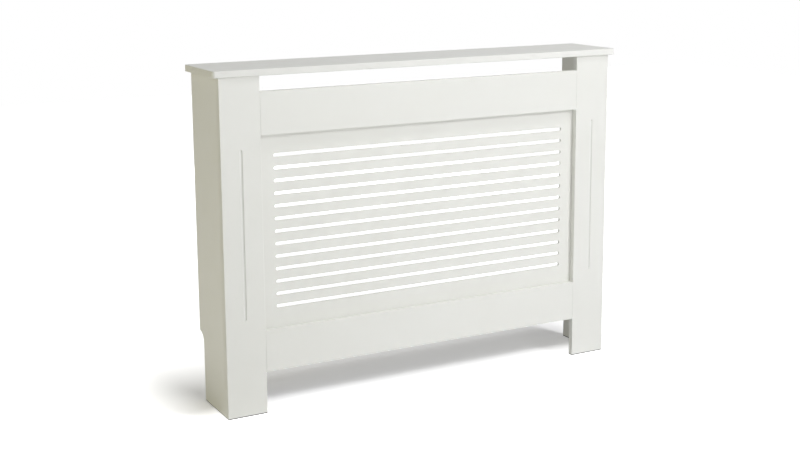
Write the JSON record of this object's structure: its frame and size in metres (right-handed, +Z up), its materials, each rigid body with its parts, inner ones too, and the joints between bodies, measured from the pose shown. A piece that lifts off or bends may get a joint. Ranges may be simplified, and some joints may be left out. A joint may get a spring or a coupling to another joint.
{
  "type": "radiator cover cabinet",
  "caption": "White painted open-backed radiator cover with a flat shelf, fluted front legs, slotted grille between two rails, and side panels notched for a skirting board.",
  "frame": {"origin": "on the floor, in the middle of the shelf's width and of its depth", "axes": "+X to the right seen from the front, +Y to the back, where the wall is, +Z up"},
  "size_m": [1.115, 0.19, 0.824],
  "materials": {
    "painted_board": "white satin paint on medium density fibreboard",
    "painted_grille": "white satin paint on thin fibreboard",
    "beech": "bare beech dowel",
    "zinc_alloy": "dull die-cast zinc",
    "plated_steel": "bright zinc plate",
    "bracket_steel": "zinc-plated sheet steel"
  },
  "bodies": {
    "root": {"top_shelf": "painted_board", "side_panel_left": "painted_board", "pilaster_left": "painted_board", "side_panel_right": "painted_board", "pilaster_right": "painted_board", "top_rail": "painted_board", "bottom_rail": "painted_board", "grille_panel": "painted_grille", "pilaster_cam_bolt_left_1": "plated_steel", "pilaster_cam_lock_left_1": "zinc_alloy", "pilaster_cam_bolt_left_2": "plated_steel", "pilaster_cam_lock_left_2": "zinc_alloy", "pilaster_cam_bolt_left_3": "plated_steel", "pilaster_cam_lock_left_3": "zinc_alloy", "side_dowel_left_1": "beech", "side_dowel_left_2": "beech", "shelf_cam_bolt_left_front": "plated_steel", "shelf_cam_lock_left_front": "zinc_alloy", "shelf_cam_bolt_left_rear": "plated_steel", "shelf_cam_lock_left_rear": "zinc_alloy", "shelf_dowel_left_side": "beech", "shelf_dowel_left_front": "beech", "top_rail_dowel_left_1": "beech", "top_rail_dowel_left_2": "beech", "bottom_rail_dowel_left_1": "beech", "bottom_rail_dowel_left_2": "beech", "pilaster_cam_bolt_right_1": "plated_steel", "pilaster_cam_lock_right_1": "zinc_alloy", "pilaster_cam_bolt_right_2": "plated_steel", "pilaster_cam_lock_right_2": "zinc_alloy", "pilaster_cam_bolt_right_3": "plated_steel", "pilaster_cam_lock_right_3": "zinc_alloy", "side_dowel_right_1": "beech", "side_dowel_right_2": "beech", "shelf_cam_bolt_right_front": "plated_steel", "shelf_cam_lock_right_front": "zinc_alloy", "shelf_cam_bolt_right_rear": "plated_steel", "shelf_cam_lock_right_rear": "zinc_alloy", "shelf_dowel_right_side": "beech", "shelf_dowel_right_front": "beech", "top_rail_dowel_right_1": "beech", "top_rail_dowel_right_2": "beech", "bottom_rail_dowel_right_1": "beech", "bottom_rail_dowel_right_2": "beech", "grille_screw_1": "plated_steel", "grille_screw_2": "plated_steel", "grille_screw_3": "plated_steel", "grille_screw_4": "plated_steel", "grille_screw_5": "plated_steel", "grille_screw_6": "plated_steel", "grille_screw_7": "plated_steel", "grille_screw_8": "plated_steel", "wall_bracket_left": "bracket_steel", "bracket_screw_left_1": "plated_steel", "bracket_screw_left_2": "plated_steel", "wall_bracket_right": "bracket_steel", "bracket_screw_right_1": "plated_steel", "bracket_screw_right_2": "plated_steel"}
  },
  "joints": []
}
